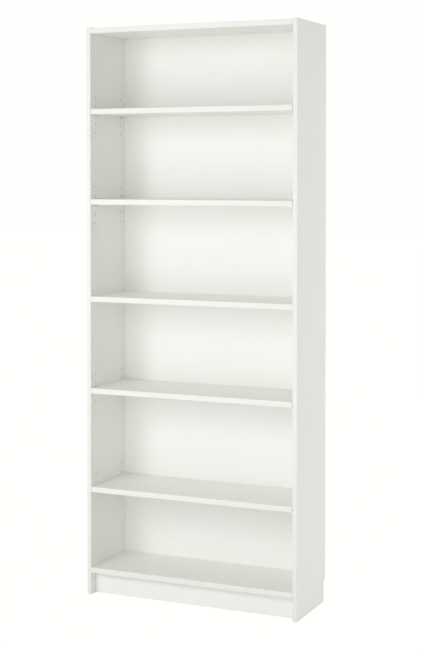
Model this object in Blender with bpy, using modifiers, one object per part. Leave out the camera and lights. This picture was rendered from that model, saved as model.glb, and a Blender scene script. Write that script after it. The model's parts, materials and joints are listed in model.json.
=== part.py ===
"""Tall open bookcase with four adjustable shelves, built as a knock-down carcass.

Two drilled side panels carry a top panel, a fixed middle shelf and a bottom panel. Each of those
three boards hangs on four cam bolts, which cam locks draw tight. The locks sit where they don't
show: on the upper face of the top panel, and under the other two. The side panels stand a little
above the top panel. A plinth on wooden dowels closes the foot, and a thin back panel stands in
grooves of the side panels, behind the three boards. The four adjustable shelves rest on plain
pins, and slide forward over them.

Frame: +X to the right, +Y towards the wall, +Z up, metres. The origin is on the floor, under the
middle of the case.
"""

import math

import bmesh
import bpy
from mathutils import Matrix, Vector

# Case
WIDTH = 0.800
DEPTH = 0.280
HEIGHT = 2.020
SIDE_THICKNESS = 0.016
BOARD_THICKNESS = 0.019
TOP_DROP = 0.003
GAP = 0.0003
ARRIS = 0.0006

# Boards and shelves, given by the height of their upper faces
BOTTOM_BOARD_TOP = 0.098
FIXED_SHELF_TOP = 1.066
SHELF_CLEARANCE = 0.0013
HOLE_PITCH = 0.032
LOWEST_SHELF_TOP = 0.387
SHELF_STEPS = (42, 32, 11, 0)

# Back panel, in grooves ahead of the side panels' rear edges
BACK_INSET = 0.260
BACK_THICKNESS = 0.003
BACK_FOLDS = 2
FOLD_CUT = 0.0022
GROOVE_DEPTH = 0.008
BACK_LAP = 0.0075
BACK_REVEAL = 0.0015

# Recess for a skirting board, at the foot of each side panel's rear edge
NOTCH_DEPTH = 0.017
NOTCH_LOW = 0.066
NOTCH_HIGH = 0.083

# Plinth and its dowels
PLINTH_SETBACK = 0.034
PLINTH_THICKNESS = 0.016
PLINTH_LIFT = 0.001
DOWEL_RADIUS = 0.004
DOWEL_IN_SIDE = 0.010
DOWEL_IN_PLINTH = 0.020
DOWEL_HEIGHTS = (0.022, 0.054)
DOWEL_CHAMFER = 0.001
DOWEL_SIDES = 8

# Rows of holes, measured back from the front edge
FRONT_ROW = 0.037
REAR_ROW = 0.229
HOLES_EITHER_WAY = 2
HOLE_SIDES = 8

# Shelf pins
PIN_RADIUS = 0.0025
PIN_IN_SIDE = 0.008
COLLAR_RADIUS = 0.0034
COLLAR_THICKNESS = 0.0007
PIN_REACH = 0.010
PIN_NOSE = 0.0008
PIN_HOLE_DEPTH = 0.009

# Cam bolts and cam locks
BOLT_ROWS = (0.064, 0.215)
BOLT_IN_SIDE = 0.011
BOLT_THREAD_RADIUS = 0.0025
BOLT_SHANK_RADIUS = 0.0033
BOLT_NECK_RADIUS = 0.0016
BOLT_HEAD_RADIUS = 0.0029
BOLT_HEAD_LENGTH = 0.0028
BOLT_PAST_CENTRE = 0.0005
BOLT_HEAD_EASE = 0.0006
BOLT_TAPER = 0.0015
CAM_RADIUS = 0.0075
CAM_HEIGHT = 0.013
CAM_INSET = 0.034
CAM_SIDES = 12
CLAW_CLEARANCE = 0.0005
CROSS_REACH = 0.0038
CROSS_HALF = 0.0006
CROSS_DEPTH = 0.0022

HALF_WIDTH = WIDTH / 2
FRONT = -DEPTH / 2
REAR = DEPTH / 2
INNER = HALF_WIDTH - SIDE_THICKNESS
BACK_FRONT = FRONT + BACK_INSET
BOARD_REAR = BACK_FRONT - GAP
BOARD_LENGTH = 2 * (INNER - GAP)
SIDES = (("left", -1), ("right", 1))
ROWS = (("front", FRONT + FRONT_ROW), ("rear", FRONT + REAR_ROW))
EPSILON = 0.001
SHARP_ANGLE = math.radians(35)


def shelf_tops():
    """Heights of the adjustable shelves' upper faces, from the top one down."""
    return [LOWEST_SHELF_TOP + step * HOLE_PITCH for step in SHELF_STEPS]


def pin_height(shelf_top):
    """Height of a pin's axis under a shelf."""
    return shelf_top - BOARD_THICKNESS - GAP - PIN_RADIUS


# Scene


def clear_scene():
    for old in list(bpy.data.objects):
        bpy.data.objects.remove(old, do_unlink=True)


def new_collection(name):
    collection = bpy.data.collections.new(name)
    bpy.context.scene.collection.children.link(collection)
    return collection


def principled(name, colour, roughness, metallic=0.0):
    made = bpy.data.materials.new(name)
    made.use_nodes = True
    shader = made.node_tree.nodes["Principled BSDF"]
    shader.inputs["Base Color"].default_value = (*colour, 1.0)
    shader.inputs["Roughness"].default_value = roughness
    shader.inputs["Metallic"].default_value = metallic
    made.diffuse_color = (*colour, 1.0)
    return made


clear_scene()
BOOKCASE = new_collection("bookcase")
CUTTERS = new_collection("cutters")
FOIL = principled("white_foil", (0.84, 0.85, 0.80), 0.42)
BACKING = principled("white_hardboard", (0.85, 0.86, 0.81), 0.55)
NICKEL = principled("nickel_steel", (0.56, 0.54, 0.50), 0.28, 1.0)
ZINC = principled("zinc_casting", (0.62, 0.63, 0.64), 0.38, 1.0)
BEECH = principled("beech_dowel", (0.62, 0.42, 0.23), 0.60)


# Shapes


def mesh_object(name, build, material=None, location=(0, 0, 0)):
    """An object whose mesh is made by build(bm). With no material it is a cutter."""
    mesh = bpy.data.meshes.new(name)
    bm = bmesh.new()
    build(bm)
    bmesh.ops.recalc_face_normals(bm, faces=bm.faces)
    bm.to_mesh(mesh)
    bm.free()
    made = bpy.data.objects.new(name, mesh)
    made.location = location
    if material:
        mesh.materials.append(material)
        BOOKCASE.objects.link(made)
    else:
        made.hide_render = True
        made.display_type = "WIRE"
        CUTTERS.objects.link(made)
    return made


def add_box(bm, low, high):
    low, high = Vector(low), Vector(high)
    scale = Matrix.Diagonal((*(high - low), 1.0))
    bmesh.ops.create_cube(bm, size=1.0, matrix=Matrix.Translation((low + high) / 2) @ scale)


def add_rod(bm, start, end, radius, sides):
    """A prism with many sides along a straight line. A multiple of four sides puts a corner on top."""
    start, end = Vector(start), Vector(end)
    along = end - start
    aim = along.to_track_quat("Z", "Y").to_matrix().to_4x4()
    bmesh.ops.create_cone(
        bm,
        cap_ends=True,
        segments=sides,
        radius1=radius,
        radius2=radius,
        depth=along.length,
        matrix=Matrix.Translation((start + end) / 2) @ aim,
    )


def board(name, low, high, material):
    """A board between two corners, with its edges eased. Its origin is at its middle."""
    low, high = Vector(low), Vector(high)
    middle = (low + high) / 2
    made = mesh_object(name, lambda bm: add_box(bm, low - middle, high - middle), material, middle)
    ease(made)
    return made


def ease(obj):
    bevel = obj.modifiers.new("eased_edges", "BEVEL")
    bevel.width = ARRIS
    bevel.segments = 1
    bevel.limit_method = "ANGLE"


def cut(obj, name, build):
    """Takes the shapes that build(bm) makes, in world coordinates, out of an object."""
    cutter = mesh_object(name, build)
    boolean = obj.modifiers.new(name, "BOOLEAN")
    boolean.operation = "DIFFERENCE"
    boolean.solver = "EXACT"
    boolean.object = cutter


def turned(name, profile, steps, material):
    """A turned shape about Z. The profile is (radius, height) pairs, from the top down."""
    mesh = bpy.data.meshes.new(name)
    points = [(radius, 0, height) for radius, height in profile]
    edges = [(i, i + 1) for i in range(len(points) - 1)]
    mesh.from_pydata(points, edges, [])
    made = bpy.data.objects.new(name, mesh)
    mesh.materials.append(material)
    BOOKCASE.objects.link(made)
    screw = made.modifiers.new("turned", "SCREW")
    screw.steps = steps
    screw.render_steps = steps
    screw.use_merge_vertices = True
    screw.merge_threshold = 0.00001
    screw.use_smooth_shade = True
    return made


def point_outwards(obj, location, side):
    """Puts a turned piece, made with its inner end at the top, into a side panel."""
    obj.location = location
    obj.rotation_euler = (0, -side * math.pi / 2, 0)


# Side panels


def drill_side(bm, side):
    """The holes in a side panel's inner face: shelf pins, cam bolts and plinth dowels."""
    face = side * INNER
    outside = face - side * EPSILON

    def hole(depth, y, z, radius, sides):
        add_rod(bm, (outside, y, z), (face + side * depth, y, z), radius, sides)

    for top in shelf_tops():
        for step in range(-HOLES_EITHER_WAY, HOLES_EITHER_WAY + 1):
            for _, y in ROWS:
                z = pin_height(top) + step * HOLE_PITCH
                hole(PIN_HOLE_DEPTH, y, z, PIN_RADIUS + GAP, HOLE_SIDES)
    for _, middle, _ in fixed_boards():
        for row in BOLT_ROWS:
            hole(BOLT_IN_SIDE + GAP, FRONT + row, middle, BOLT_THREAD_RADIUS + GAP, HOLE_SIDES)
    for z in DOWEL_HEIGHTS:
        hole(DOWEL_IN_SIDE + GAP, plinth_middle(), z, DOWEL_RADIUS + GAP, DOWEL_SIDES)


def mill_groove(bm, side):
    """The groove for the back panel, open at the top and into the skirting recess."""
    face = side * INNER
    xs = sorted((face - side * EPSILON, face + side * GROOVE_DEPTH))
    low = (xs[0], BACK_FRONT - GAP, -EPSILON)
    high = (xs[1], BACK_FRONT + BACK_THICKNESS + GAP, HEIGHT + EPSILON)
    add_box(bm, low, high)


def saw_notch(bm, side):
    """The recess for a skirting board: a box whose roof slopes up to the rear edge."""
    inner, outer = sorted((side * (INNER - EPSILON), side * (HALF_WIDTH + EPSILON)))
    slope = (NOTCH_HIGH - NOTCH_LOW) / NOTCH_DEPTH
    add_box(bm, (inner, REAR - NOTCH_DEPTH, -EPSILON), (outer, REAR + EPSILON, NOTCH_LOW))
    for vertex in bm.verts:
        if vertex.co.z > 0 and vertex.co.y > REAR:
            vertex.co.z = NOTCH_HIGH + slope * EPSILON


def side_panel(word, side):
    xs = sorted((side * INNER, side * HALF_WIDTH))
    name = "side_panel_" + word
    panel = board(name, (xs[0], FRONT, 0), (xs[1], REAR, HEIGHT), FOIL)
    cut(panel, "notch_" + word, lambda bm: saw_notch(bm, side))
    cut(panel, "groove_" + word, lambda bm: mill_groove(bm, side))
    cut(panel, "holes_" + word, lambda bm: drill_side(bm, side))


# Fixed boards


def fixed_boards():
    """The three boards that are bolted between the sides: name, middle height, and the way that
    the cam locks face (1 up, -1 down)."""
    return (
        ("top_panel", HEIGHT - TOP_DROP - BOARD_THICKNESS / 2, 1),
        ("fixed_shelf", FIXED_SHELF_TOP - BOARD_THICKNESS / 2, -1),
        ("bottom_panel", BOTTOM_BOARD_TOP - BOARD_THICKNESS / 2, -1),
    )


def cam_centre(side):
    return side * (INNER - CAM_INSET)


def bore_board(bm, middle, facing):
    """Blind bores for the cam locks, from the face that they show on."""
    outside = middle + facing * (BOARD_THICKNESS / 2 + EPSILON)
    blind = middle + facing * (BOARD_THICKNESS / 2 - CAM_HEIGHT - 2 * GAP)
    for row in BOLT_ROWS:
        y = FRONT + row
        for _, side in SIDES:
            x = cam_centre(side)
            add_rod(bm, (x, y, outside), (x, y, blind), CAM_RADIUS + GAP, CAM_SIDES)


def drill_board(bm, middle):
    """Channels for the cam bolts, from the board's ends into the cam bores."""
    for row in BOLT_ROWS:
        y = FRONT + row
        for _, side in SIDES:
            start = (side * (INNER + EPSILON), y, middle)
            add_rod(bm, start, (cam_centre(side), y, middle), BOLT_SHANK_RADIUS + GAP, HOLE_SIDES)


def fixed_board(name, middle, facing):
    low = (-BOARD_LENGTH / 2, FRONT, middle - BOARD_THICKNESS / 2)
    made = board(name, low, (BOARD_LENGTH / 2, BOARD_REAR, middle + BOARD_THICKNESS / 2), FOIL)
    cut(made, name + "_cam_bores", lambda bm: bore_board(bm, middle, facing))
    cut(made, name + "_bolt_channels", lambda bm: drill_board(bm, middle))


def cam_bolt_profile():
    """From the head inside the cam lock, at the top, down to the thread in the side panel."""
    head = CAM_INSET + BOLT_PAST_CENTRE
    head_end = head - BOLT_HEAD_LENGTH
    shank_start = CAM_INSET - CAM_RADIUS - 2 * BOLT_TAPER
    return (
        (0, head),
        (BOLT_HEAD_RADIUS - BOLT_HEAD_EASE, head),
        (BOLT_HEAD_RADIUS, head - BOLT_HEAD_EASE),
        (BOLT_HEAD_RADIUS, head_end),
        (BOLT_NECK_RADIUS, head_end),
        (BOLT_NECK_RADIUS, shank_start + BOLT_TAPER),
        (BOLT_SHANK_RADIUS, shank_start),
        (BOLT_SHANK_RADIUS, GAP),
        (BOLT_THREAD_RADIUS, GAP),
        (BOLT_THREAD_RADIUS, BOLT_TAPER - BOLT_IN_SIDE),
        (BOLT_THREAD_RADIUS / 2, -BOLT_IN_SIDE),
        (0, -BOLT_IN_SIDE),
    )


def cam_lock_mesh():
    """A cam lock standing on the face that shows, with its open claw towards +X."""
    floor = BOARD_THICKNESS / 2 - GAP - BOLT_HEAD_RADIUS - CLAW_CLEARANCE
    top = CAM_HEIGHT + EPSILON
    head = BOLT_HEAD_RADIUS + CLAW_CLEARANCE
    neck = BOLT_NECK_RADIUS + CLAW_CLEARANCE
    chamber_end = BOLT_HEAD_LENGTH - BOLT_PAST_CENTRE + CLAW_CLEARANCE

    def barrel(bm):
        add_rod(bm, (0, 0, 0), (0, 0, CAM_HEIGHT), CAM_RADIUS, CAM_SIDES)

    def chamber(bm):
        add_box(bm, (-2 * CLAW_CLEARANCE, -head, floor), (chamber_end, head, top))

    def slot(bm):
        add_box(bm, (chamber_end - CLAW_CLEARANCE, -neck, floor), (CAM_RADIUS + EPSILON, neck, top))

    lock = mesh_object("cam_lock", barrel, ZINC)
    cut(lock, "claw_chamber", chamber)
    cut(lock, "claw_slot", slot)
    for name, x, y in (
        ("cross_long", CROSS_REACH, CROSS_HALF),
        ("cross_short", CROSS_HALF, CROSS_REACH),
    ):
        cut(lock, name, lambda bm, x=x, y=y: add_box(bm, (-x, -y, -EPSILON), (x, y, CROSS_DEPTH)))
    graph = bpy.context.evaluated_depsgraph_get()
    mesh = bpy.data.meshes.new_from_object(lock.evaluated_get(graph))
    mesh.shade_smooth()
    mesh.set_sharp_from_angle(angle=SHARP_ANGLE)
    bpy.data.objects.remove(lock, do_unlink=True)
    return mesh


# Fittings


def fittings():
    """Cam bolts and cam locks: one of each at both rows of both ends of a fixed board."""
    lock_mesh = cam_lock_mesh()
    for name, middle, facing in fixed_boards():
        tilt = 0 if facing < 0 else math.pi
        for word, side in SIDES:
            turn = 0 if side > 0 else math.pi
            for row_word, row in zip(("front", "rear"), BOLT_ROWS):
                y = FRONT + row
                place = "_".join((name.split("_")[0], word, row_word))
                bolt = turned("cam_bolt_" + place, cam_bolt_profile(), HOLE_SIDES, NICKEL)
                point_outwards(bolt, (side * INNER, y, middle), side)
                lock = bpy.data.objects.new("cam_lock_" + place, lock_mesh)
                shown = middle + facing * (BOARD_THICKNESS / 2 - GAP)
                lock.location = (cam_centre(side), y, shown)
                lock.rotation_euler = (tilt, 0, turn)
                BOOKCASE.objects.link(lock)


def pin_profile():
    """From the eased nose that carries the shelf, down to the end in the side panel."""
    collar_top = GAP + COLLAR_THICKNESS
    return (
        (0, PIN_REACH),
        (PIN_RADIUS - PIN_NOSE, PIN_REACH),
        (PIN_RADIUS, PIN_REACH - PIN_NOSE),
        (PIN_RADIUS, collar_top),
        (COLLAR_RADIUS, collar_top),
        (COLLAR_RADIUS, GAP),
        (PIN_RADIUS, GAP),
        (PIN_RADIUS, PIN_NOSE - PIN_IN_SIDE),
        (PIN_RADIUS - PIN_NOSE, -PIN_IN_SIDE),
        (0, -PIN_IN_SIDE),
    )


def shelf_pins(number, top):
    for word, side in SIDES:
        for row_word, y in ROWS:
            name = "_".join(("shelf_pin", str(number), word, row_word))
            pin = turned(name, pin_profile(), HOLE_SIDES, NICKEL)
            point_outwards(pin, (side * INNER, y, pin_height(top)), side)


def adjustable_shelf(number, top):
    half = INNER - SHELF_CLEARANCE
    rear = BACK_FRONT - SHELF_CLEARANCE
    name = "adjustable_shelf_%d" % number
    board(name, (-half, FRONT, top - BOARD_THICKNESS), (half, rear, top), FOIL)


# Plinth


def plinth_middle():
    return FRONT + PLINTH_SETBACK + PLINTH_THICKNESS / 2


def plinth():
    y = plinth_middle()
    top = BOTTOM_BOARD_TOP - BOARD_THICKNESS - GAP
    low = (-BOARD_LENGTH / 2, y - PLINTH_THICKNESS / 2, PLINTH_LIFT)
    made = board("plinth", low, (BOARD_LENGTH / 2, y + PLINTH_THICKNESS / 2, top), FOIL)

    def drill(bm):
        for _, side in SIDES:
            for z in DOWEL_HEIGHTS:
                start = (side * (INNER + EPSILON), y, z)
                end = (side * (INNER - DOWEL_IN_PLINTH - GAP), y, z)
                add_rod(bm, start, end, DOWEL_RADIUS + GAP, DOWEL_SIDES)

    cut(made, "plinth_dowel_holes", drill)


def dowel_profile():
    """From the end in the plinth, at the top, down to the end in the side panel."""
    return (
        (0, DOWEL_IN_PLINTH),
        (DOWEL_RADIUS - DOWEL_CHAMFER, DOWEL_IN_PLINTH),
        (DOWEL_RADIUS, DOWEL_IN_PLINTH - DOWEL_CHAMFER),
        (DOWEL_RADIUS, DOWEL_CHAMFER - DOWEL_IN_SIDE),
        (DOWEL_RADIUS - DOWEL_CHAMFER, -DOWEL_IN_SIDE),
        (0, -DOWEL_IN_SIDE),
    )


def plinth_dowels():
    for word, side in SIDES:
        for height_word, z in zip(("lower", "upper"), DOWEL_HEIGHTS):
            name = "_".join(("plinth_dowel", word, height_word))
            dowel = turned(name, dowel_profile(), DOWEL_SIDES, BEECH)
            point_outwards(dowel, (side * INNER, plinth_middle(), z), side)


# Back panel


def back_panel():
    """One sheet, with a V-cut down its rear face at each fold, so that it packs flat in three."""
    half = INNER + BACK_LAP
    bottom = BOTTOM_BOARD_TOP - BOARD_THICKNESS + BACK_REVEAL
    top = HEIGHT - TOP_DROP - BACK_REVEAL
    rear = BACK_FRONT + BACK_THICKNESS
    low = Vector((-half, BACK_FRONT, bottom))
    high = Vector((half, rear, top))
    middle = (low + high) / 2
    made = mesh_object("back_panel", lambda bm: add_box(bm, low - middle, high - middle), BACKING, middle)

    def fold_cuts(bm):
        side = FOLD_CUT * math.sqrt(2)
        stretch = Matrix.Diagonal((side, side, 2 * HEIGHT, 1.0))
        for fold in range(1, BACK_FOLDS + 1):
            x = -half + 2 * half * fold / (BACK_FOLDS + 1)
            place = Matrix.Translation((x, rear, HEIGHT)) @ Matrix.Rotation(math.pi / 4, 4, "Z")
            bmesh.ops.create_cube(bm, size=1.0, matrix=place @ stretch)

    cut(made, "fold_cuts", fold_cuts)


# Assembly


def bookcase():
    for word, side in SIDES:
        side_panel(word, side)
    for name, middle, facing in fixed_boards():
        fixed_board(name, middle, facing)
    fittings()
    plinth()
    plinth_dowels()
    back_panel()
    for number, top in enumerate(shelf_tops(), start=1):
        adjustable_shelf(number, top)
        shelf_pins(number, top)


bookcase()
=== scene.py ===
import json
import math

import bmesh
import bpy
from mathutils import Matrix, Vector


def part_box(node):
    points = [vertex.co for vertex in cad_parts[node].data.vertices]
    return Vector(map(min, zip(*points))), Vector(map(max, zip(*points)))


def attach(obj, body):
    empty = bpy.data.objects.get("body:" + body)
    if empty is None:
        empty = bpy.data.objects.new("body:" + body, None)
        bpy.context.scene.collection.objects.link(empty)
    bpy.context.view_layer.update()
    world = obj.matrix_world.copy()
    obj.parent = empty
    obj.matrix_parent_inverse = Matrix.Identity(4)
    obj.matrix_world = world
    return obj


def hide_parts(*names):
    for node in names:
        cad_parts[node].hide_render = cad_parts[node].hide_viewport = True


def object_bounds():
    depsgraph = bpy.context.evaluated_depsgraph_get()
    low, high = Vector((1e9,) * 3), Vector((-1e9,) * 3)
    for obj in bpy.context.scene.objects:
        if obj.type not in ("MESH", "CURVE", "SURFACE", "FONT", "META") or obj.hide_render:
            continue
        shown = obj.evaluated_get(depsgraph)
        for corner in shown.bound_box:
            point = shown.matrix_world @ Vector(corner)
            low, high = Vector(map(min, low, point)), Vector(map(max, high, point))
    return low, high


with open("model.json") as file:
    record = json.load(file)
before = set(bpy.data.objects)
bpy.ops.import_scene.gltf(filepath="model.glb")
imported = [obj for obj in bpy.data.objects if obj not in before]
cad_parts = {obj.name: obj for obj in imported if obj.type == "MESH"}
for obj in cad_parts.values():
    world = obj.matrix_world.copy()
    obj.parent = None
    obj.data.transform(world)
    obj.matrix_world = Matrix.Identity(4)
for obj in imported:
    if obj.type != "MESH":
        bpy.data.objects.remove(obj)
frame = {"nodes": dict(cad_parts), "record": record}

# The looks of the tall open bookcase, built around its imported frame. Every place and size of a
# piece comes from the frame's nodes; the constants below are only what the frame leaves out.
# +X is to the right, +Y towards the wall, +Z up, in metres.

CAD_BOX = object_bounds()
MM = 0.001

# Edges: the foil runs over the front ones, and the saw leaves the others crisp
SOFT_EDGE = 1.0 * MM
CRISP_SHARE = 0.3
EDGE_SEGMENTS = 4
SHARP_ANGLE = math.radians(32)

# Holes in the boards. PLAY is what a fitting has in its hole, and CLEARANCE is the frame's own gap.
# OVERSHOOT is how far a cutter runs past the face it cuts, and two places within NEAR are one.
HOLE_SIDES = 24
HOLE_PITCH = 32 * MM
HOLES_EITHER_WAY = 2
HOLE_EASE = 0.15 * MM
CLEARANCE = 0.3 * MM
PLAY = 0.1 * MM
PIN_HOLE_DEPTH = 9 * MM
DRILL_TIP = 0.6 * MM
CAM_SIDES = 64
OVERSHOOT = 1 * MM
NEAR = 1 * MM

# The frame's parts that have no box of their own
SIDE_THICKNESS = 16 * MM
BOARD_THICKNESS = 19 * MM
CAM_INSET = 34 * MM
GROOVE_DEPTH = 8 * MM
NOTCH_DEPTH = 17 * MM
NOTCH_LOW = 66 * MM
NOTCH_HIGH = 83 * MM
PLINTH_DOWEL_DEPTH = 20 * MM
FOLD_CUT = 2.2 * MM
BACK_FOLDS = 2

# Shelf pins
ROUND_SIDES = 48
PIN_RADIUS = 2.5 * MM
PIN_IN_SIDE = 8 * MM
PIN_REACH = 10 * MM
PIN_NOSE = 0.8 * MM
COLLAR_RADIUS = 3.4 * MM
COLLAR_THICKNESS = 0.7 * MM
COLLAR_EASE = 0.3 * MM

# Cam bolts
BOLT_IN_SIDE = 11 * MM
BOLT_THREAD_RADIUS = 2.5 * MM
BOLT_SHANK_RADIUS = 3.3 * MM
BOLT_NECK_RADIUS = 1.6 * MM
BOLT_HEAD_RADIUS = 2.9 * MM
BOLT_HEAD_LENGTH = 2.8 * MM
BOLT_PAST_CENTRE = 0.5 * MM
BOLT_EASE = 0.6 * MM
BOLT_TAPER = 1.5 * MM
THREAD_START = 0.5 * MM
THREAD_PITCH = 2.2 * MM
THREAD_CUT = 0.75 * MM
THREAD_STEP = 0.14 * MM
THREAD_STEEPNESS = 2.2

# Cam locks
CAM_RADIUS = 7.5 * MM
CAM_HEIGHT = 13 * MM
CAM_EASE = 0.5 * MM
CROSS_REACH = 3.8 * MM
CROSS_HALF = 0.6 * MM
CROSS_DEPTH = 2.2 * MM
CROSS_TAPER = 0.7
CLAW_CLEARANCE = 0.5 * MM
ARROW_TIP = 6.6 * MM
ARROW_LENGTH = 1.8 * MM
ARROW_DEPTH = 0.3 * MM

# Plinth dowels
DOWEL_IN_SIDE = 10 * MM
DOWEL_CHAMFER = 1 * MM
FLUTES = 12
FLUTE_CUT = 0.35 * MM

# Nails, which only the visual model has. The head's profile is in shares of its radius and height.
NAILS = 6
NAIL_LENGTH = 19 * MM
NAIL_RADIUS = 0.8 * MM
NAIL_HEAD_RADIUS = 2.6 * MM
NAIL_HEAD_HEIGHT = 0.6 * MM
NAIL_HEAD_PROFILE = ((0.55, 0.95), (0.9, 0.6), (1, 0.2), (0.97, 0))
NAIL_INSET = 40 * MM

# Floor and backdrop. Where the floor is seen it takes light in red and green only, over a glow, so
# that it is as warm a white as the backdrop at any brightness.
FLOOR_SIZE = 60.0
FLOOR_COLOUR = (0.85, 0.85, 0.84)
FLOOR_SHOWN = (0.12, 0.12, 0.0)
FLOOR_GLOW = (0.96, 0.96, 0.985)
BACKDROP = (1.0, 1.0, 0.985)
AMBIENT = 0.49

# Lights: name, bearing in degrees from straight in front (positive to the right), distance,
# height, diameter and power
LIGHTS = (
    ("softbox", 0, 3.2, 1.2, 3.6, 40.5),
    ("key", -30, 2.4, 1.3, 0.7, 4.0),
    ("high_fill", -22, 4.0, 2.6, 1.2, 17),
    ("low_fill", -10, 2.4, 0.3, 1.0, 2.6),
    ("side_fill", 110, 4.0, 1.4, 1.5, 42.5),
    ("left_fill", -112, 4.0, 1.4, 1.5, 30),
    ("top_fill", 180, 0.9, 4.2, 1.2, 20),
)
AIM = Vector((0, 0, 1.0))

# Camera
EYE = (2.124, -4.634, 1.500)
TURN = math.radians(24.4)
TILT = math.radians(-1.2)
LENS = 80.2
RISE = -0.185

SIDES = (("left", -1), ("right", 1))


# Materials


def node(tree, kind, inputs=None, **settings):
    """A shader node. Each input is a socket to link from, or a plain value."""
    made = tree.nodes.new("ShaderNode" + kind)
    for key, value in settings.items():
        setattr(made, key, value)
    for key, value in (inputs or {}).items():
        if isinstance(value, bpy.types.NodeSocket):
            tree.links.new(value, made.inputs[key])
        else:
            made.inputs[key].default_value = value
    return made


def ramp(tree, factor, stops):
    """A colour ramp over (position, (r, g, b)) stops."""
    made = node(tree, "ValToRGB", {"Fac": factor})
    elements = made.color_ramp.elements
    while len(elements) < len(stops):
        elements.new(0.5)
    for element, (position, colour) in zip(elements, stops):
        element.position = position
        element.color = (*colour, 1)
    return made.outputs["Color"]


def stretched(tree, scale):
    """Object coordinates, scaled along each axis."""
    place = node(tree, "TexCoord")
    return node(tree, "Mapping", {"Vector": place.outputs["Object"], "Scale": scale}).outputs[0]


def noise(tree, vector, scale, detail=2.0, roughness=0.5):
    inputs = {"Vector": vector, "Scale": scale, "Detail": detail, "Roughness": roughness}
    return node(tree, "TexNoise", inputs).outputs["Fac"]


def spread(tree, value, low, high):
    """Maps 0.25 to 0.75, where noise mostly lies, to low and high."""
    inputs = {"Value": value, "From Min": 0.25, "From Max": 0.75, "To Min": low, "To Max": high}
    return node(tree, "MapRange", inputs).outputs["Result"]


def bumped(tree, height, distance, under=None):
    inputs = {"Height": height, "Distance": distance}
    if under:
        inputs["Normal"] = under
    return node(tree, "Bump", inputs).outputs["Normal"]


def material(name, build, roughness=0.5, metallic=0.0, specular=0.5):
    """A Principled material. build(tree) gives the sockets for its uneven inputs."""
    made = bpy.data.materials.new(name)
    made.use_nodes = True
    tree = made.node_tree
    shader = tree.nodes["Principled BSDF"]
    shader.inputs["Roughness"].default_value = roughness
    shader.inputs["Metallic"].default_value = metallic
    shader.inputs["Specular IOR Level"].default_value = specular
    for key, socket in build(tree).items():
        tree.links.new(socket, shader.inputs[key])
    return made


def foil(colour, shade, grain, sheen):
    """White printed foil on board: faint clouds from the board under it, and a fine pebble."""

    def build(tree):
        vector = stretched(tree, (1, 1, 1))
        clouds = noise(tree, vector, scale=5, detail=3)
        pebble = noise(tree, vector, scale=900)
        ripple = noise(tree, vector, scale=55)
        gloss = noise(tree, vector, scale=38)
        low = tuple(c * shade for c in colour)
        waves = bumped(tree, ripple, 0.02 * MM)
        return {
            "Base Color": ramp(tree, clouds, ((0.3, low), (0.7, colour))),
            "Roughness": spread(tree, gloss, sheen - 0.05, sheen + 0.05),
            "Normal": bumped(tree, pebble, grain, under=waves),
        }

    return build


def chipboard(tree):
    """Pressed chips in the sawn edges: short pale flakes, fines between them, and open pores."""
    vector = stretched(tree, (1, 1, 1.6))
    flakes = node(tree, "TexVoronoi", {"Vector": vector, "Scale": 420, "Randomness": 1})
    fines = noise(tree, vector, scale=1900, detail=3, roughness=0.7)
    tone = node(tree, "SeparateColor", {"Color": flakes.outputs["Color"]}).outputs["Red"]
    both = node(tree, "Math", {0: tone, 1: fines}, operation="ADD").outputs[0]
    mean = node(tree, "Math", {0: both, 1: 0.5}, operation="MULTIPLY").outputs[0]
    stops = (
        (0.22, (0.34, 0.23, 0.13)),
        (0.42, (0.54, 0.40, 0.25)),
        (0.60, (0.66, 0.52, 0.35)),
        (0.80, (0.76, 0.64, 0.46)),
    )
    return {
        "Base Color": ramp(tree, mean, stops),
        "Roughness": spread(tree, fines, 0.78, 0.95),
        "Normal": bumped(tree, mean, 0.35 * MM),
    }


def hardboard(tree):
    """Pressed fibre with the print of the press's screen on its rough side."""
    vector = stretched(tree, (1, 1, 1))
    along = stretched(tree, (1, 1, 0.22))
    fibres = noise(tree, along, scale=620, detail=4, roughness=0.65)
    patches = noise(tree, vector, scale=9, detail=3)
    weave = {"Vector": vector, "Scale": 145, "Distortion": 1.2}
    wires = node(tree, "TexWave", weave)
    cross = node(tree, "TexWave", weave, bands_direction="Z")
    screen = node(
        tree, "Math", {0: wires.outputs["Fac"], 1: cross.outputs["Fac"]}, operation="MULTIPLY"
    ).outputs[0]
    mean = node(tree, "Mix", {"Factor": 0.2, "A": fibres, "B": patches}).outputs["Result"]
    stops = (
        (0.36, (0.26, 0.155, 0.080)),
        (0.50, (0.34, 0.210, 0.115)),
        (0.64, (0.42, 0.270, 0.155)),
    )
    rough = bumped(tree, fibres, 0.12 * MM)
    return {
        "Base Color": ramp(tree, mean, stops),
        "Roughness": spread(tree, fibres, 0.75, 0.92),
        "Normal": bumped(tree, screen, 0.15 * MM, under=rough),
    }


def plating(colour, shade, scratch_scale):
    """Plated or cast metal with fine scratches and cloudy roughness."""

    def build(tree):
        vector = stretched(tree, (1, 1, 1))
        scratches = noise(tree, stretched(tree, (1, 1, 9)), scratch_scale, detail=3)
        clouds = noise(tree, vector, scale=260, detail=3)
        low = tuple(c * shade for c in colour)
        return {
            "Base Color": ramp(tree, clouds, ((0.3, low), (0.7, colour))),
            "Roughness": spread(tree, clouds, 0.22, 0.42),
            "Normal": bumped(tree, scratches, 0.02 * MM),
        }

    return build


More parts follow.
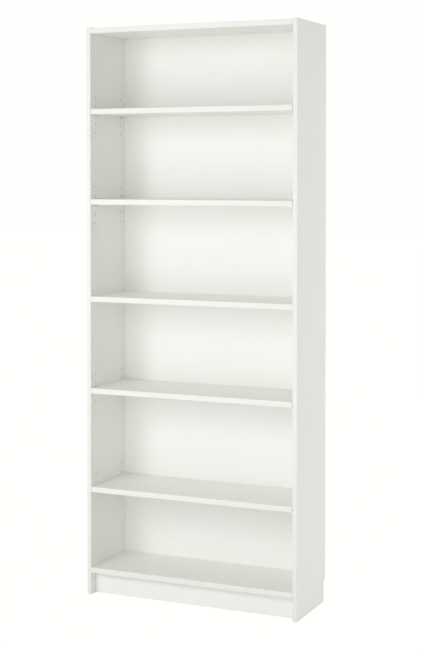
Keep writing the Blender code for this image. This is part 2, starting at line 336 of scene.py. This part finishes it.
def beech(tree):
    """Straight-grained wood along Z, with the short dark flecks of beech."""
    grain = noise(tree, stretched(tree, (1, 1, 0.08)), scale=900, detail=4, roughness=0.6)
    short = stretched(tree, (1, 1, 0.3))
    flecks = node(tree, "TexVoronoi", {"Vector": short, "Scale": 900, "Randomness": 1})
    dark = node(
        tree, "Math", {0: flecks.outputs["Distance"], 1: 0.35}, operation="MULTIPLY"
    ).outputs[0]
    both = node(tree, "Math", {0: grain, 1: dark}, operation="SUBTRACT").outputs[0]
    stops = ((0.15, (0.42, 0.25, 0.12)), (0.40, (0.60, 0.40, 0.22)), (0.65, (0.70, 0.50, 0.30)))
    return {
        "Base Color": ramp(tree, both, stops),
        "Roughness": spread(tree, grain, 0.50, 0.70),
        "Normal": bumped(tree, grain, 0.05 * MM),
    }


FOIL = material("white_foil_face", foil((0.892, 0.897, 0.865), 0.992, 0.015 * MM, 0.42))
# The edge band is the face foil made darker. The band is real, but the darker colour is painted shade,
# so that the brightly lit front edges and ends read no brighter than the faces deep inside the case.
SHADED_BAND = material("white_edge_band_painted_shade", foil((0.845, 0.852, 0.806), 0.994, 0.008 * MM, 0.38))
PAINT = material("white_back_face", foil((0.892, 0.896, 0.868), 0.990, 0.020 * MM, 0.52))
CHIP = material("raw_chipboard", chipboard, specular=0.3)
FIBRE = material("raw_hardboard", hardboard, specular=0.3)
NICKEL = material("nickel_plating", plating((0.76, 0.74, 0.70), 0.92, 700), metallic=1.0)
ZINC = material("cast_zinc", plating((0.62, 0.63, 0.64), 0.82, 1400), metallic=1.0)
BEECH = material("beech_wood", beech, specular=0.3)

# A board's materials, and which of them a lying board has on each (axis, end)
BOARD_LOOKS = (FOIL, SHADED_BAND, CHIP)
FACE, BANDED, RAW = range(len(BOARD_LOOKS))
LYING = {(2, 0): FACE, (2, 1): FACE, (1, 0): BANDED, (0, 0): BANDED, (0, 1): BANDED}


# Shapes


def mesh_object(name, build):
    """An object whose mesh is made by build(bm), in the row frame."""
    mesh = bpy.data.meshes.new(name)
    bm = bmesh.new()
    build(bm)
    bmesh.ops.recalc_face_normals(bm, faces=bm.faces)
    bm.to_mesh(mesh)
    bm.free()
    made = bpy.data.objects.new(name, mesh)
    bpy.context.scene.collection.objects.link(made)
    return made


def add_box(bm, low, high):
    low, high = Vector(low), Vector(high)
    scale = Matrix.Diagonal((*(high - low), 1.0))
    return bmesh.ops.create_cube(
        bm, size=1.0, matrix=Matrix.Translation((low + high) / 2) @ scale
    )["verts"]


def add_turned(bm, profile, sides, place=None, reach=None):
    """A closed turned solid about Z. The profile is (radius, height) pairs from one end to the
    other, and reach(radius, angle, height) may change the radius round the piece."""
    rings = []
    for radius, height in profile:
        ring = []
        if radius == 0:
            ring.append(bm.verts.new((0, 0, height)))
        else:
            for step in range(sides):
                angle = 2 * math.pi * step / sides
                r = reach(radius, angle, height) if reach else radius
                ring.append(bm.verts.new((r * math.cos(angle), r * math.sin(angle), height)))
        rings.append(ring)
    for a, b in zip(rings, rings[1:]):
        for step in range(sides):
            after = (step + 1) % sides
            if len(a) == 1:
                bm.faces.new((a[0], b[step], b[after]))
            elif len(b) == 1:
                bm.faces.new((a[step], a[after], b[0]))
            else:
                bm.faces.new((a[step], a[after], b[after], b[step]))
    if place:
        bmesh.ops.transform(bm, matrix=place, verts=[v for ring in rings for v in ring])


def drill(bm, place, radius, depth, sides=HOLE_SIDES, tip=DRILL_TIP):
    """A blind hole's shape, down from place's origin along -Z: eased rim, wall, drill tip. The
    rim's slope runs on past the face, because a ring that lay in the face would leave slivers."""
    profile = (
        (0, OVERSHOOT),
        (radius + HOLE_EASE + OVERSHOOT, OVERSHOOT),
        (radius, -HOLE_EASE),
        (radius, -depth),
        (0, -depth - tip),
    )
    add_turned(bm, profile, sides, place)


def finished(obj, materials, pick=None):
    """Applies the modifiers, gives each face the material that pick(centre, normal) names, and
    smooths the shading of all but sharp edges."""
    graph = bpy.context.evaluated_depsgraph_get()
    mesh = bpy.data.meshes.new_from_object(obj.evaluated_get(graph))
    for modifier in list(obj.modifiers):
        if getattr(modifier, "object", None):
            bpy.data.objects.remove(modifier.object, do_unlink=True)
    obj.modifiers.clear()
    obj.data = mesh
    mesh.name = obj.name
    mesh.materials.clear()
    for each in materials:
        mesh.materials.append(each)
    for face in mesh.polygons:
        face.material_index = pick(face.center, face.normal) if pick else 0
    mesh.shade_smooth()
    mesh.set_sharp_from_angle(angle=SHARP_ANGLE)
    evened = obj.modifiers.new("evened_shading", "WEIGHTED_NORMAL")
    evened.keep_sharp = True


def cut(obj, name, build):
    boolean = obj.modifiers.new(name, "BOOLEAN")
    boolean.operation = "DIFFERENCE"
    boolean.solver = "EXACT"
    boolean.object = mesh_object(name, build)
    boolean.object.hide_render = True


def board(name, low, high, soft):
    """A board with rounded edges. soft(middle) says which of its twelve edges are banded."""

    def build(bm):
        add_box(bm, low, high)
        weight = bm.edges.layers.float.new("bevel_weight_edge")
        for edge in bm.edges:
            middle = (edge.verts[0].co + edge.verts[1].co) / 2
            edge[weight] = 1.0 if soft(middle) else CRISP_SHARE

    made = mesh_object(name, build)
    bevel = made.modifiers.new("rounded_edges", "BEVEL")
    bevel.limit_method = "WEIGHT"
    bevel.width = SOFT_EDGE
    bevel.segments = EDGE_SEGMENTS
    return made


def side_of(centre, normal, low, high):
    """Which face of a board a point lies on, as (axis, end), or None inside a hole or groove."""
    axis = max(range(3), key=lambda k: abs(normal[k]))
    end = 1 if normal[axis] > 0 else 0
    if abs(centre[axis] - (low, high)[end][axis]) > SOFT_EDGE:
        return None
    return axis, end


def faced(low, high, finish):
    """A pick() for finished(): finish maps (axis, end) to a place in BOARD_LOOKS, or it is raw."""

    def pick(centre, normal):
        return finish.get(side_of(centre, normal, low, high), RAW)

    return pick


def put(obj, body, slot, *nodes):
    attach(obj, body)
    if nodes:
        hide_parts(*nodes)


def centre_of(name):
    low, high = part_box(name)
    return (low + high) / 2


# Where things are, from the frame

NODES = sorted(frame["nodes"])
BODIES = frame["record"]["behaviour"]["bodies"]
BODY_OF = {name: body for body, members in BODIES.items() for name in members}
REAR = CAD_BOX[1].y
HEIGHT = CAD_BOX[1].z
INNER = CAD_BOX[1].x - SIDE_THICKNESS
BACK_LOW, BACK_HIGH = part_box("back_panel")
PINS = [n for n in NODES if n.startswith("shelf_pin_")]
BOLTS = [n for n in NODES if n.startswith("cam_bolt_")]
LOCKS = [n for n in NODES if n.startswith("cam_lock_")]
DOWELS = [n for n in NODES if n.startswith("plinth_dowel_")]
SHELVES = [n for n in NODES if n.startswith("adjustable_shelf_")]
FIXED = ("top_panel", "fixed_shelf", "bottom_panel")


def radius_of(name):
    """A turned piece's largest radius, from its height."""
    low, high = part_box(name)
    return (high.z - low.z) / 2


def side_and_middle(name):
    """Which side panel a fitting belongs to (-1 left, 1 right), and the fitting's middle."""
    middle = centre_of(name)
    return (1 if middle.x > 0 else -1), middle


def in_side_face(name):
    """Stands a piece on a side panel's inner face, level with a fitting, with +Z inwards."""
    side, middle = side_and_middle(name)
    turn = Matrix.Rotation(-side * math.pi / 2, 4, "Y")
    return Matrix.Translation((side * INNER, middle.y, middle.z)) @ turn


def in_board_end(name, high):
    """As in_side_face, on the end of the board whose high corner this is, with +Z outwards."""
    side, middle = side_and_middle(name)
    turn = Matrix.Rotation(side * math.pi / 2, 4, "Y")
    return Matrix.Translation((side * high.x, middle.y, middle.z)) @ turn


DOWEL_RADIUS = radius_of(DOWELS[0])


# Side panels


def side_panel(word, side):
    name = "side_panel_" + word
    low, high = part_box(name)
    inner = side * INNER

    def holes(bm):
        for pin in PINS:
            if word in pin:
                for step in range(-HOLES_EITHER_WAY, HOLES_EITHER_WAY + 1):
                    up = Matrix.Translation((0, 0, step * HOLE_PITCH))
                    drill(bm, up @ in_side_face(pin), PIN_RADIUS + PLAY, PIN_HOLE_DEPTH)
        for bolt in BOLTS:
            if word in bolt:
                drill(bm, in_side_face(bolt), BOLT_THREAD_RADIUS + PLAY, BOLT_IN_SIDE + PLAY)
        for dowel in DOWELS:
            if word in dowel:
                drill(bm, in_side_face(dowel), DOWEL_RADIUS + PLAY, DOWEL_IN_SIDE + PLAY)

    def notch(bm):
        xs = sorted((side * (INNER - OVERSHOOT), side * (INNER + SIDE_THICKNESS + OVERSHOOT)))
        slope = (NOTCH_HIGH - NOTCH_LOW) / NOTCH_DEPTH
        start = (xs[0], REAR - NOTCH_DEPTH, -OVERSHOOT)
        for vertex in add_box(bm, start, (xs[1], REAR + OVERSHOOT, NOTCH_LOW)):
            if vertex.co.z > 0 and vertex.co.y > REAR:
                vertex.co.z = NOTCH_HIGH + slope * OVERSHOOT

    def groove(bm):
        xs = sorted((inner - side * OVERSHOOT, inner + side * GROOVE_DEPTH))
        front = (xs[0], BACK_LOW.y - CLEARANCE, -OVERSHOOT)
        add_box(bm, front, (xs[1], BACK_HIGH.y + CLEARANCE, HEIGHT + OVERSHOOT))

    made = board(name + "_foiled", low, high, lambda at: at.y < REAR - NEAR and at.z > NEAR)
    cut(made, "notch", notch)
    cut(made, "groove", groove)
    cut(made, "holes", holes)
    finish = {(0, 0): FACE, (0, 1): FACE, (1, 0): BANDED, (2, 1): BANDED}
    finished(made, BOARD_LOOKS, faced(low, high, finish))
    put(made, "case", "white_foil", name)


# Fixed boards and shelves


def long_front_edges(low, high):
    """Picks the two edges that run along a board's front, and not the ones at its ends."""
    return lambda at: at.y < low.y + NEAR and low.x + NEAR < at.x < high.x - NEAR


def on_shown_face(lock, low, high):
    """Stands a piece where a cam lock shows on its board, with +Z out of the board."""
    middle = centre_of(lock)
    if middle.z > (low.z + high.z) / 2:
        return Matrix.Translation((middle.x, middle.y, high.z))
    return Matrix.Translation((middle.x, middle.y, low.z)) @ Matrix.Rotation(math.pi, 4, "X")


def fixed_board(name):
    low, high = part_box(name)
    key = name.split("_")[0]
    locks = [n for n in LOCKS if n.startswith("cam_lock_%s_" % key)]
    bolts = [n for n in BOLTS if n.startswith("cam_bolt_%s_" % key)]

    def bores(bm):
        depth = CAM_HEIGHT + 2 * CLEARANCE
        for lock in locks:
            drill(bm, on_shown_face(lock, low, high), CAM_RADIUS + PLAY, depth, CAM_SIDES, tip=0)

    def channels(bm):
        for bolt in bolts:
            drill(bm, in_board_end(bolt, high), BOLT_SHANK_RADIUS + PLAY, CAM_INSET)

    made = board(name + "_foiled", low, high, long_front_edges(low, high))
    cut(made, "bores", bores)
    cut(made, "channels", channels)
    finished(made, BOARD_LOOKS, faced(low, high, LYING))
    put(made, "case", "white_foil", name)


def adjustable_shelf(name):
    low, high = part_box(name)
    made = board(name + "_foiled", low, high, long_front_edges(low, high))
    finished(made, BOARD_LOOKS, faced(low, high, LYING))
    put(made, BODY_OF[name], "white_foil", name)


def plinth():
    low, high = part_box("plinth")

    def dowel_holes(bm):
        for dowel in DOWELS:
            drill(bm, in_board_end(dowel, high), DOWEL_RADIUS + PLAY, PLINTH_DOWEL_DEPTH)

    made = board("plinth_foiled", low, high, long_front_edges(low, high))
    cut(made, "dowel_holes", dowel_holes)
    finish = {(1, 0): FACE, (1, 1): FACE, (2, 0): BANDED, (0, 0): BANDED, (0, 1): BANDED}
    finished(made, BOARD_LOOKS, faced(low, high, finish))
    put(made, "case", "white_foil", "plinth")


def back_panel():
    """One sheet of hardboard, white in front, with a V-cut down the back at each fold."""
    made = board("back_panel_painted", BACK_LOW, BACK_HIGH, lambda at: False)

    def folds(bm):
        side = FOLD_CUT * math.sqrt(2)
        stretch = Matrix.Diagonal((side, side, 2 * HEIGHT, 1.0))
        width = BACK_HIGH.x - BACK_LOW.x
        for fold in range(1, BACK_FOLDS + 1):
            x = BACK_LOW.x + width * fold / (BACK_FOLDS + 1)
            place = Matrix.Translation((x, BACK_HIGH.y, HEIGHT))
            turn = Matrix.Rotation(math.pi / 4, 4, "Z")
            bmesh.ops.create_cube(bm, size=1.0, matrix=place @ turn @ stretch)

    cut(made, "folds", folds)
    finished(made, (PAINT, FIBRE), lambda centre, normal: 0 if normal.y < -0.5 else 1)
    put(made, "case", "white_hardboard", "back_panel")


# Fittings


def copies(master, names, place, look, slot):
    """Puts a copy of a master piece where place(name) says, for each fitting, and drops the master."""
    for name in names:
        made = bpy.data.objects.new(name + "_detailed", master.data.copy())
        bpy.context.scene.collection.objects.link(made)
        made.matrix_world = place(name)
        finished(made, (look,))
        put(made, "case", slot, name)
    bpy.data.objects.remove(master, do_unlink=True)


def arc(radius, centre, start, end, steps):
    """Points of an eased corner in a profile, as (radius, height) pairs."""
    angles = (start + (end - start) * step / steps for step in range(steps + 1))
    turns = (math.radians(angle) for angle in angles)
    return [(centre[0] + radius * math.cos(t), centre[1] + radius * math.sin(t)) for t in turns]


def shelf_pins():
    """Plain pins with a collar against the side panel and a rounded nose."""
    collar_top = CLEARANCE + COLLAR_THICKNESS
    nose = (PIN_RADIUS - PIN_NOSE, PIN_REACH - PIN_NOSE)
    rim = (COLLAR_RADIUS - COLLAR_EASE, collar_top - COLLAR_EASE)
    tail = (PIN_RADIUS - PIN_NOSE, PIN_NOSE - PIN_IN_SIDE)
    profile = [
        (0, PIN_REACH),
        *arc(PIN_NOSE, nose, 90, 0, 5),
        (PIN_RADIUS, collar_top),
        *arc(COLLAR_EASE, rim, 90, 0, 3),
        (COLLAR_RADIUS, CLEARANCE),
        (PIN_RADIUS, CLEARANCE),
        *arc(PIN_NOSE, tail, 0, -90, 3),
        (0, -PIN_IN_SIDE),
    ]
    master = mesh_object("shelf_pin_turned", lambda bm: add_turned(bm, profile, ROUND_SIDES))
    copies(master, PINS, in_side_face, NICKEL, "nickel_steel")


def thread_reach(radius, angle, height):
    """The radius of a coarse right-hand screw thread that dies out at both its ends."""
    if height > -THREAD_START or radius < BOLT_THREAD_RADIUS - THREAD_CUT:
        return radius
    turn = (height / THREAD_PITCH - angle / (2 * math.pi)) % 1.0
    ridge = max(0.0, 1 - abs(2 * turn - 1) * THREAD_STEEPNESS)
    return radius - THREAD_CUT * (1 - ridge)


def cam_bolts():
    """Bolts with a coarse thread in the side panel, a shank, and a head that the cam lock grips."""
    head = CAM_INSET + BOLT_PAST_CENTRE
    head_end = head - BOLT_HEAD_LENGTH
    shank_start = CAM_INSET - CAM_RADIUS - 2 * BOLT_TAPER
    rows = int((BOLT_IN_SIDE - BOLT_TAPER - 2 * THREAD_START) / THREAD_STEP)
    thread = [(BOLT_THREAD_RADIUS, -THREAD_START - step * THREAD_STEP) for step in range(1, rows)]
    crown = (BOLT_HEAD_RADIUS - BOLT_EASE, head - BOLT_EASE)
    profile = [
        (0, head),
        *arc(BOLT_EASE, crown, 90, 0, 4),
        (BOLT_HEAD_RADIUS, head_end + BOLT_EASE / 3),
        (BOLT_HEAD_RADIUS - BOLT_EASE / 3, head_end),
        (BOLT_NECK_RADIUS, head_end),
        (BOLT_NECK_RADIUS, shank_start + BOLT_TAPER),
        (BOLT_SHANK_RADIUS, shank_start),
        (BOLT_SHANK_RADIUS, CLEARANCE),
        (BOLT_THREAD_RADIUS - THREAD_CUT, CLEARANCE),
        (BOLT_THREAD_RADIUS - THREAD_CUT, -THREAD_START),
        *thread,
        (BOLT_THREAD_RADIUS / 2, -BOLT_IN_SIDE),
        (0, -BOLT_IN_SIDE),
    ]
    master = mesh_object(
        "cam_bolt_threaded",
        lambda bm: add_turned(bm, profile, ROUND_SIDES, reach=thread_reach),
    )
    copies(master, BOLTS, in_side_face, NICKEL, "nickel_steel")


def cam_locks():
    """Cast drums that stand on the face that shows, which has a cross recess and an arrow to the
    bolt, with the claw on the other. The top panel's locks are the other way up."""
    floor = BOARD_THICKNESS / 2 - CLEARANCE - BOLT_HEAD_RADIUS - CLAW_CLEARANCE
    head = BOLT_HEAD_RADIUS + CLAW_CLEARANCE
    neck = BOLT_NECK_RADIUS + CLAW_CLEARANCE
    chamber_end = BOLT_HEAD_LENGTH - BOLT_PAST_CENTRE + CLAW_CLEARANCE
    top = CAM_HEIGHT + OVERSHOOT
    foot = (CAM_RADIUS - CAM_EASE, CAM_EASE)
    rim = (CAM_RADIUS - CAM_EASE, CAM_HEIGHT - CAM_EASE)
    profile = [
        (0, CAM_HEIGHT),
        *arc(CAM_EASE, rim, 90, 0, 4),
        *arc(CAM_EASE, foot, 0, -90, 4),
        (0, 0),
    ]

    def chamber(bm):
        add_box(bm, (-2 * CLAW_CLEARANCE, -head, floor), (chamber_end, head, top))

    def slot(bm):
        add_box(bm, (chamber_end - CLAW_CLEARANCE, -neck, floor), (CAM_RADIUS + OVERSHOOT, neck, top))

    def tapered_bar(bm, x, y):
        for vertex in add_box(bm, (-x, -y, -OVERSHOOT), (x, y, CROSS_DEPTH)):
            if vertex.co.z > 0:
                vertex.co.x *= CROSS_TAPER
                vertex.co.y *= CROSS_TAPER

    def arrow(bm):
        back = ARROW_TIP - ARROW_LENGTH
        low, high = -OVERSHOOT, ARROW_DEPTH
        points = ((ARROW_TIP, 0), (back, ARROW_LENGTH / 2), (back, -ARROW_LENGTH / 2))
        rings = [[bm.verts.new((x, y, z)) for x, y in points] for z in (low, high)]
        bm.faces.new(rings[0])
        bm.faces.new(rings[1])
        for a, b in ((0, 1), (1, 2), (2, 0)):
            bm.faces.new((rings[0][a], rings[0][b], rings[1][b], rings[1][a]))

    master = mesh_object("cam_lock_cast", lambda bm: add_turned(bm, profile, ROUND_SIDES))
    cut(master, "claw_chamber", chamber)
    cut(master, "claw_slot", slot)
    cut(master, "cross_long", lambda bm: tapered_bar(bm, CROSS_REACH, CROSS_HALF))
    cut(master, "cross_short", lambda bm: tapered_bar(bm, CROSS_HALF, CROSS_REACH))
    cut(master, "arrow", arrow)
    finished(master, (ZINC,))
    master.modifiers.clear()

    def place(name):
        side, middle = side_and_middle(name)
        turn = Matrix.Rotation(0 if side > 0 else math.pi, 4, "Z")
        low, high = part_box(name)
        if name.startswith("cam_lock_top_"):
            turn = turn @ Matrix.Rotation(math.pi, 4, "X")
            return Matrix.Translation((middle.x, middle.y, high.z)) @ turn
        return Matrix.Translation((middle.x, middle.y, low.z)) @ turn

    copies(master, LOCKS, place, ZINC, "zinc_casting")


def flute_reach(radius, angle, height):
    """The radius of a dowel with shallow flutes along it, smooth on its chamfered ends."""
    if radius < DOWEL_RADIUS:
        return radius
    return radius - FLUTE_CUT * max(0.0, math.cos(FLUTES * angle)) ** 2


def plinth_dowels():
    eased = DOWEL_RADIUS - DOWEL_CHAMFER / 2
    profile = (
        (0, PLINTH_DOWEL_DEPTH),
        (DOWEL_RADIUS - DOWEL_CHAMFER, PLINTH_DOWEL_DEPTH),
        (eased, PLINTH_DOWEL_DEPTH - DOWEL_CHAMFER / 2),
        (DOWEL_RADIUS, PLINTH_DOWEL_DEPTH - DOWEL_CHAMFER),
        (DOWEL_RADIUS, DOWEL_CHAMFER - DOWEL_IN_SIDE),
        (eased, DOWEL_CHAMFER / 2 - DOWEL_IN_SIDE),
        (DOWEL_RADIUS - DOWEL_CHAMFER, -DOWEL_IN_SIDE),
        (0, -DOWEL_IN_SIDE),
    )
    master = mesh_object(
        "plinth_dowel_fluted",
        lambda bm: add_turned(bm, profile, 2 * ROUND_SIDES, reach=flute_reach),
    )
    copies(master, DOWELS, in_side_face, BEECH, "beech")


def back_nails(name):
    """Flat-headed nails through the back panel into a fixed board's rear edge."""
    low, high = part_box(name)
    z = (max(low.z, BACK_LOW.z) + min(high.z, BACK_HIGH.z)) / 2
    profile = (
        (0, NAIL_HEAD_HEIGHT),
        *((NAIL_HEAD_RADIUS * out, NAIL_HEAD_HEIGHT * up) for out, up in NAIL_HEAD_PROFILE),
        (NAIL_RADIUS, 0),
        (NAIL_RADIUS, -NAIL_LENGTH + 2 * NAIL_RADIUS),
        (0, -NAIL_LENGTH),
    )

    def build(bm):
        span = high.x - low.x - 2 * NAIL_INSET
        for step in range(NAILS):
            x = low.x + NAIL_INSET + span * step / (NAILS - 1)
            turn = Matrix.Rotation(-math.pi / 2, 4, "X")
            add_turned(bm, profile, HOLE_SIDES, Matrix.Translation((x, BACK_HIGH.y, z)) @ turn)

    made = mesh_object("back_nails_" + name.split("_")[0], build)
    finished(made, (NICKEL,))
    put(made, "case", "nickel_steel")


# Stage: floor, light and camera


def studio_floor():
    """A pale floor that glows a little where it is seen, so that it runs into the backdrop."""
    made = mesh_object(
        "studio_floor",
        lambda bm: bmesh.ops.create_grid(bm, x_segments=4, y_segments=4, size=FLOOR_SIZE / 2),
    )
    look = bpy.data.materials.new("studio_floor")
    look.use_nodes = True
    tree = look.node_tree
    tree.nodes.clear()
    lit = node(tree, "BsdfDiffuse", {"Color": (*FLOOR_COLOUR, 1)})
    shown = node(tree, "BsdfDiffuse", {"Color": (*FLOOR_SHOWN, 1)})
    glow = node(tree, "Emission", {"Color": (*FLOOR_GLOW, 1), "Strength": 1.0})
    both = node(tree, "AddShader", {0: shown.outputs[0], 1: glow.outputs[0]})
    path = node(tree, "LightPath").outputs["Is Camera Ray"]
    mixed = node(tree, "MixShader", {0: path, 1: lit.outputs[0], 2: both.outputs[0]})
    node(tree, "OutputMaterial", {"Surface": mixed.outputs[0]})
    made.data.materials.append(look)


def backdrop():
    """Plain white all round, which lights the scene less than it shows."""
    world = bpy.data.worlds.new("studio")
    world.use_nodes = True
    bpy.context.scene.world = world
    tree = world.node_tree
    tree.nodes.clear()
    shown = node(tree, "Background", {"Color": (*BACKDROP, 1), "Strength": 1.0})
    light = node(tree, "Background", {"Color": (1, 1, 1, 1), "Strength": AMBIENT})
    path = node(tree, "LightPath").outputs["Is Camera Ray"]
    mixed = node(tree, "MixShader", {0: path, 1: light.outputs[0], 2: shown.outputs[0]})
    node(tree, "OutputWorld", {"Surface": mixed.outputs[0]})


def studio_lights():
    for name, bearing, distance, height, size, power in LIGHTS:
        data = bpy.data.lights.new(name, "AREA")
        data.shape = "DISK"
        data.size = size
        data.energy = power
        made = bpy.data.objects.new(name, data)
        angle = math.radians(bearing)
        made.location = (math.sin(angle) * distance, -math.cos(angle) * distance, height)
        made.rotation_euler = (made.location - AIM).to_track_quat("Z", "Y").to_euler()
        made.visible_camera = False
        bpy.context.scene.collection.objects.link(made)


def camera():
    data = bpy.data.cameras.new("camera")
    data.lens = LENS
    data.shift_y = RISE
    made = bpy.data.objects.new("camera", data)
    made.location = EYE
    made.rotation_euler = (math.pi / 2 + TILT, 0, TURN)
    bpy.context.scene.collection.objects.link(made)
    bpy.context.scene.camera = made


# Assembly


def bookcase():
    for word, side in SIDES:
        side_panel(word, side)
    for name in FIXED:
        fixed_board(name)
        back_nails(name)
    for name in SHELVES:
        adjustable_shelf(name)
    plinth()
    back_panel()
    shelf_pins()
    cam_bolts()
    cam_locks()
    plinth_dowels()


bookcase()
studio_floor()
backdrop()
studio_lights()
camera()
bpy.context.scene.view_settings.view_transform = "Standard"
bpy.context.scene.cycles.diffuse_bounces = 8
